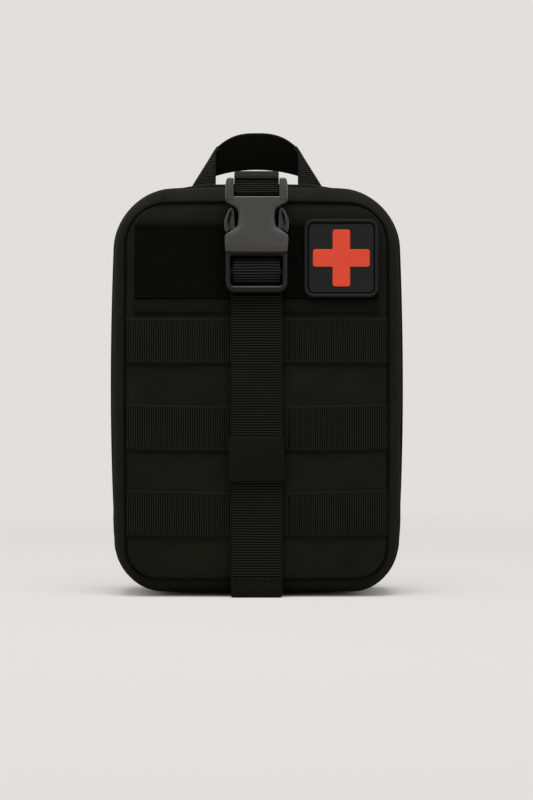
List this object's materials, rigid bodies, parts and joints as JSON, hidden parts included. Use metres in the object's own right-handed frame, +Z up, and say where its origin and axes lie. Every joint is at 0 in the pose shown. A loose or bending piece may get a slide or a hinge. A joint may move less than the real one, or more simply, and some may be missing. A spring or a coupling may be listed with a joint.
{
  "type": "medical pouch",
  "caption": "Rip-away first-aid pouch: zipped clamshell case with attachment rows, over-strap with side-release buckle, carry handle, plus patch and back platform.",
  "frame": {"origin": "bottom centre of the bounding box", "axes": "+Z up, -Y the front with the buckle and the patch, +X to the right seen from the front"},
  "size_m": [0.1673, 0.1042, 0.2652],
  "materials": {
    "case_fabric": "woven",
    "piping": "woven",
    "lining": "woven",
    "mesh": "open mesh",
    "elastic": "knitted elastic",
    "zip_tape": "herringbone tape",
    "zip_coil": "coil",
    "webbing": "ribbed webbing",
    "loop_pile": "brushed loop",
    "hook_tape": "hook tape",
    "buckle_plastic": "fine moulded texture",
    "patch_rubber": "soft matte",
    "plus_rubber": "soft matte",
    "slider_metal": "black paint",
    "pull_rubber": "soft matte",
    "snap_metal": "black paint"
  },
  "bodies": {
    "case": {"rear_gusset": "case_fabric", "back_panel": "case_fabric", "rear_piping": "piping", "zip_tape_rear": "zip_tape", "zip_coil_rear": "zip_coil", "zip_end_stops": "zip_coil", "organiser_panel": "lining", "mesh_pocket": "mesh", "mesh_pocket_binding": "elastic", "elastic_loops": "elastic", "handle_base": "webbing", "strap_bottom": "webbing", "back_loop_field": "loop_pile", "platform_hook_field": "hook_tape", "platform_panel": "case_fabric", "platform_rows": "webbing", "molle_strap_left": "webbing", "molle_strap_right": "webbing", "snap_caps": "snap_metal"},
    "cover": {"front_gusset": "case_fabric", "front_panel": "case_fabric", "front_piping": "piping", "zip_tape_front": "zip_tape", "zip_coil_front": "zip_coil", "loop_field": "loop_pile", "field_hem": "case_fabric", "molle_row_1": "webbing", "molle_row_2": "webbing", "molle_row_3": "webbing", "cover_lining": "lining", "cover_pocket": "mesh", "cover_pocket_binding": "elastic"},
    "patch": {"patch_hook": "hook_tape", "patch_base": "patch_rubber", "patch_rim": "patch_rubber", "patch_plus": "plus_rubber"},
    "over_strap": {"front_strap": "webbing", "strap_tail": "webbing", "strap_turn": "webbing", "buckle_plug": "buckle_plastic", "buckle_socket": "buckle_plastic", "strap_upper": "webbing"},
    "keeper": {"strap_keeper": "elastic"},
    "prong_left": {"prong_left": "buckle_plastic"},
    "prong_right": {"prong_right": "buckle_plastic"},
    "slider": {"zip_slider": "slider_metal"},
    "pull": {"zip_pull": "pull_rubber"},
    "handle": {"handle": "webbing"}
  },
  "joints": [
    {"name": "cover_open", "type": "hinge", "parent": "case", "child": "cover", "pos_m": [0, -0.03815, 0.009], "axis": [1, 0, 0], "range_deg": [0, 78]},
    {"name": "strap_swing", "type": "hinge", "parent": "case", "child": "over_strap", "pos_m": [0, -0.04115, 0.002], "axis": [1, 0, 0], "range_deg": [0, 82]},
    {"name": "patch_peel", "type": "slide", "parent": "cover", "child": "patch", "axis": [0, -1, 0], "range_m": [0, 0.018]},
    {"name": "keeper_slide", "type": "slide", "parent": "over_strap", "child": "keeper", "axis": [0, 0, 1], "range_m": [-0.03, 0.06]},
    {"name": "prong_left_squeeze", "type": "hinge", "parent": "over_strap", "child": "prong_left", "pos_m": [-0.013, -0.04665, 0.1991], "axis": [0, 1, 0], "range_deg": [0, 6], "stiffness_Nm_per_rad": 0.6},
    {"name": "prong_right_squeeze", "type": "hinge", "parent": "over_strap", "child": "prong_right", "pos_m": [0.013, -0.04665, 0.1991], "axis": [0, -1, 0], "range_deg": [0, 6], "stiffness_Nm_per_rad": 0.6},
    {"name": "slider_run", "type": "slide", "parent": "case", "child": "slider", "axis": [0, 0, 1], "range_m": [0, 0.14]},
    {"name": "pull_flip", "type": "hinge", "parent": "slider", "child": "pull", "pos_m": [0.0832, -0.00715, 0.062], "axis": [0, -1, 0], "range_deg": [0, 160]},
    {"name": "handle_flop", "type": "hinge", "parent": "case", "child": "handle", "pos_m": [0, 0.01245, 0.2394], "axis": [-1, 0, 0], "range_deg": [-8, 88]}
  ],
  "couplings": [
    {"joint": "strap_swing", "follows": "cover_open", "ratio": 1.05}
  ]
}
